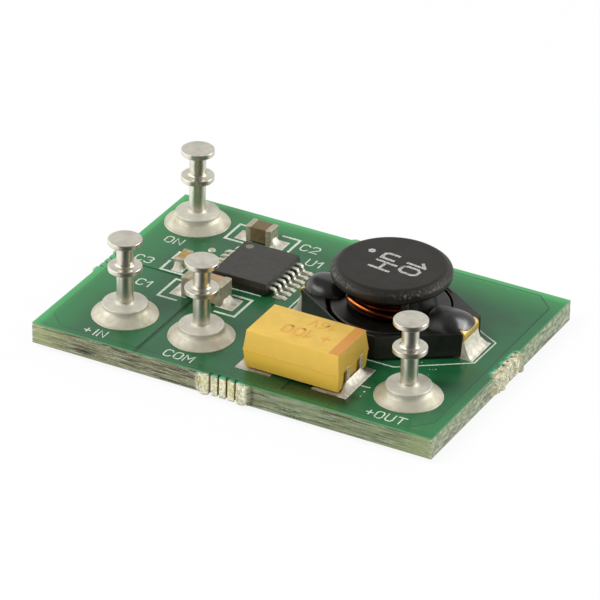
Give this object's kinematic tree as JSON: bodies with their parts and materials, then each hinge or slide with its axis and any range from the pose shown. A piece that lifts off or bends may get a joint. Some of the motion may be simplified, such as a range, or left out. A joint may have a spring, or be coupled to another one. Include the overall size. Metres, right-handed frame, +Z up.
{
  "type": "switching regulator module",
  "caption": "Small green circuit board with turret terminals, a drum inductor, a regulator chip, a moulded capacitor and ceramic capacitors, which steps a direct voltage down.",
  "frame": {"origin": "under the middle of the board, level with the swaged ends of the terminals", "axes": "+X along the long edge towards the output terminal, +Y towards the enable terminal's edge, +Z up through the terminals"},
  "size_m": [0.0312, 0.0218, 0.0079],
  "materials": {
    "laminate": "glass-epoxy laminate with torn edges",
    "copper": "copper foil",
    "solder_mask": "glossy green solder mask",
    "terminal_metal": "tinned brass, satin",
    "solder": "tin solder",
    "chip_plastic": "moulded epoxy",
    "lead_metal": "tinned lead frame",
    "base_plastic": "moulded plastic",
    "ferrite": "coated ferrite",
    "enamelled_wire": "enamelled copper wire",
    "clip_metal": "gold-coloured plated bronze",
    "epoxy": "glossy black epoxy",
    "moulded_resin": "moulded resin",
    "tab_metal": "tinned nickel strip",
    "input_ceramic": "fired ceramic",
    "bypass_ceramic": "fired ceramic",
    "start_ceramic": "fired ceramic",
    "end_metal": "tinned silver"
  },
  "bodies": {
    "root": {"board_laminate": "laminate", "top_copper": "copper", "bottom_copper": "copper", "hole_plating": "copper", "top_solder_mask": "solder_mask", "bottom_solder_mask": "solder_mask", "via_solder": "solder", "regulator_body": "chip_plastic", "regulator_leads": "lead_metal", "regulator_lead_solder": "solder", "inductor_base": "base_plastic", "inductor_core": "ferrite", "inductor_winding": "enamelled_wire", "inductor_switch_clip": "clip_metal", "inductor_output_clip": "clip_metal", "inductor_switch_cover": "epoxy", "inductor_output_cover": "epoxy", "inductor_switch_solder": "solder", "inductor_output_solder": "solder", "output_capacitor_body": "moulded_resin", "output_capacitor_cathode_tab": "tab_metal", "output_capacitor_anode_tab": "tab_metal", "output_capacitor_cathode_solder": "solder", "output_capacitor_anode_solder": "solder", "input_capacitor_body": "input_ceramic", "bypass_capacitor_body": "bypass_ceramic", "start_capacitor_body": "start_ceramic", "input_terminal": "terminal_metal", "input_terminal_solder": "solder", "input_swage_solder": "solder", "ground_terminal": "terminal_metal", "ground_terminal_solder": "solder", "ground_swage_solder": "solder", "output_terminal": "terminal_metal", "output_terminal_solder": "solder", "output_swage_solder": "solder", "enable_terminal": "terminal_metal", "enable_terminal_solder": "solder", "enable_swage_solder": "solder", "input_capacitor_ends": "end_metal", "input_capacitor_solder": "solder", "bypass_capacitor_ends": "end_metal", "bypass_capacitor_solder": "solder", "start_capacitor_ends": "end_metal", "start_capacitor_solder": "solder"}
  },
  "joints": []
}
